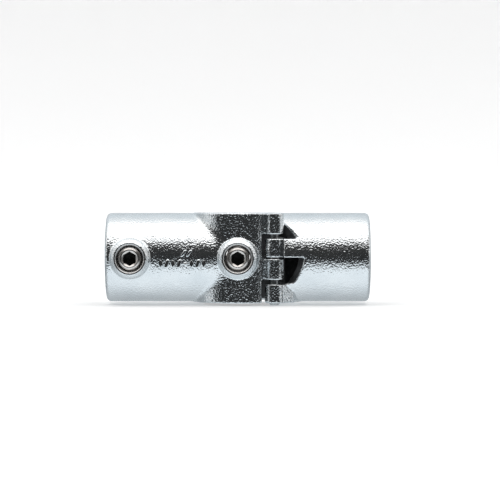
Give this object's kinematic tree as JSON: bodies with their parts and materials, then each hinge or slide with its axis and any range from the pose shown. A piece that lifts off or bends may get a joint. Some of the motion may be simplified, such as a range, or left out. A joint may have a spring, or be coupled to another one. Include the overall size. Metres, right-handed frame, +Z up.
{
  "type": "hinged two-socket tube clamp",
  "caption": "Hinged cross clamp that closes round an upright tube and holds two in-line rails in end sockets, with hinge pin, closing pin and hex socket set screws",
  "frame": {"origin": "Where the upright tube's axis and the rails' axis cross, which is the middle of the fitting", "axes": "+Z up along the upright tube, +X along the rails towards the rear casting's socket, -Y towards the front casting's set screws"},
  "size_m": [0.184, 0.071, 0.0637],
  "materials": {
    "cast_zinc": "bright zinc plating over a fine cast grain, glossy",
    "pin_steel": "zinc plated steel, hammered at the peened end",
    "screw_nickel": "machined stainless steel, slightly warm, with turning marks"
  },
  "bodies": {
    "front_half": {"front_casting": "cast_zinc", "hinge_pin": "pin_steel"},
    "rear_half": {"rear_casting": "cast_zinc"},
    "closing_pin_body": {"closing_pin": "pin_steel"},
    "front_socket_screw_body": {"front_socket_screw": "screw_nickel"},
    "front_saddle_screw_body": {"front_saddle_screw": "screw_nickel"},
    "rear_socket_screw_body": {"rear_socket_screw": "screw_nickel"},
    "rear_saddle_screw_body": {"rear_saddle_screw": "screw_nickel"}
  },
  "joints": [
    {"name": "casting_hinge", "type": "hinge", "parent": "front_half", "child": "rear_half", "pos_m": [0.0254, -0.0229, 0], "axis": [0, 0, 1], "range_deg": [-95, 0]},
    {"name": "closing_pin_slide", "type": "slide", "parent": "front_half", "child": "closing_pin_body", "axis": [0, 0, 1], "range_m": [0, 0.066]},
    {"name": "front_socket_screw_travel", "type": "slide", "parent": "front_half", "child": "front_socket_screw_body", "axis": [0, -1, 0], "range_m": [-0.003, 0.006]},
    {"name": "front_saddle_screw_travel", "type": "slide", "parent": "front_half", "child": "front_saddle_screw_body", "axis": [0, -1, 0], "range_m": [-0.003, 0.006]},
    {"name": "rear_socket_screw_travel", "type": "slide", "parent": "rear_half", "child": "rear_socket_screw_body", "axis": [0, 1, 0], "range_m": [-0.003, 0.006]},
    {"name": "rear_saddle_screw_travel", "type": "slide", "parent": "rear_half", "child": "rear_saddle_screw_body", "axis": [0, 1, 0], "range_m": [-0.003, 0.006]}
  ]
}
